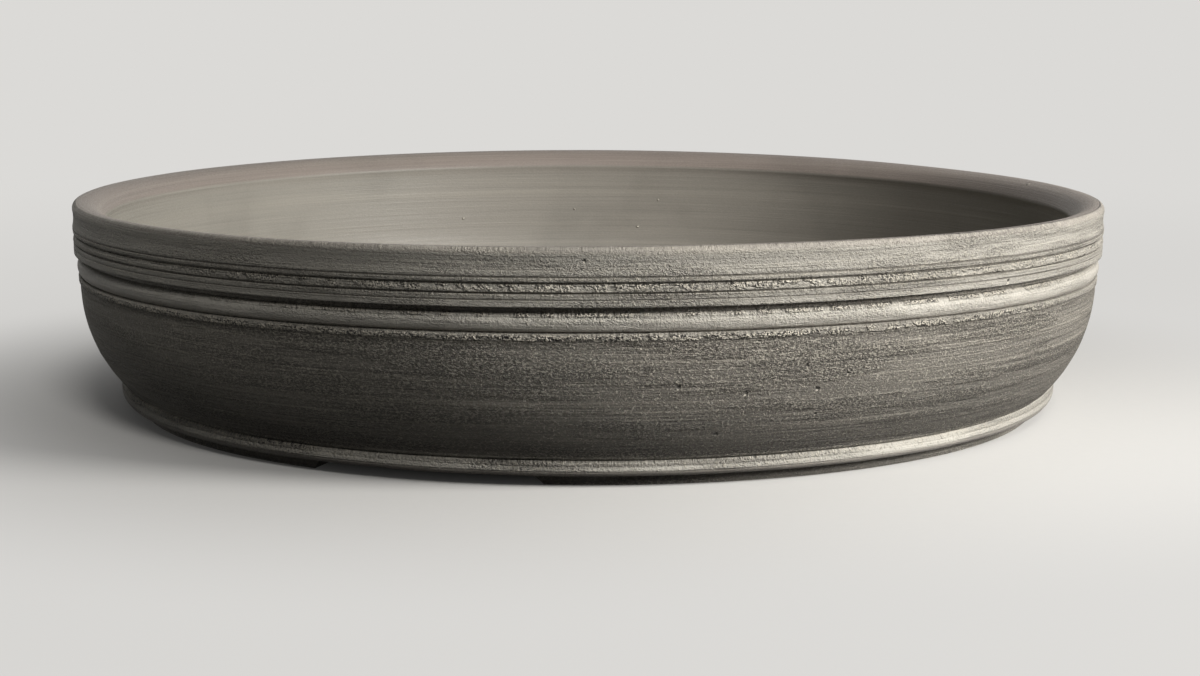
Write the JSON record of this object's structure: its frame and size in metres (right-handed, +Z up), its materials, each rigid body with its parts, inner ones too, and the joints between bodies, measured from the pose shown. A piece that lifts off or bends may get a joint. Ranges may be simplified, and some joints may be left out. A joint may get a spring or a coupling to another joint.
{
  "type": "shallow bonsai pot",
  "caption": "Shallow round unglazed pot with a sloping lip, turned grooves below the rim, a bead at the base and low arched feet.",
  "frame": {"origin": "on the pot's axis, at the ground under its feet", "axes": "+Z up along the pot's axis, -Y towards the viewer of the picture, +X to the picture's right"},
  "size_m": [0.35, 0.35, 0.0725],
  "materials": {
    "wall_clay": "unglazed coarse stoneware, turned with fine lines and grooves, dark warm grey",
    "base_clay": "unglazed coarse stoneware, scraped flat",
    "bead_clay": "unglazed stoneware rubbed smooth, lighter grey",
    "seam_clay": "unglazed stoneware smoothed with a fingertip",
    "foot_clay": "unglazed coarse stoneware, turned, bare on the sole"
  },
  "bodies": {
    "root": {"thrown_wall": "wall_clay", "base_slab": "base_clay", "base_bead": "bead_clay", "inner_seam_coil": "seam_clay", "foot_right": "foot_clay", "foot_back": "foot_clay", "foot_left": "foot_clay"}
  },
  "joints": []
}
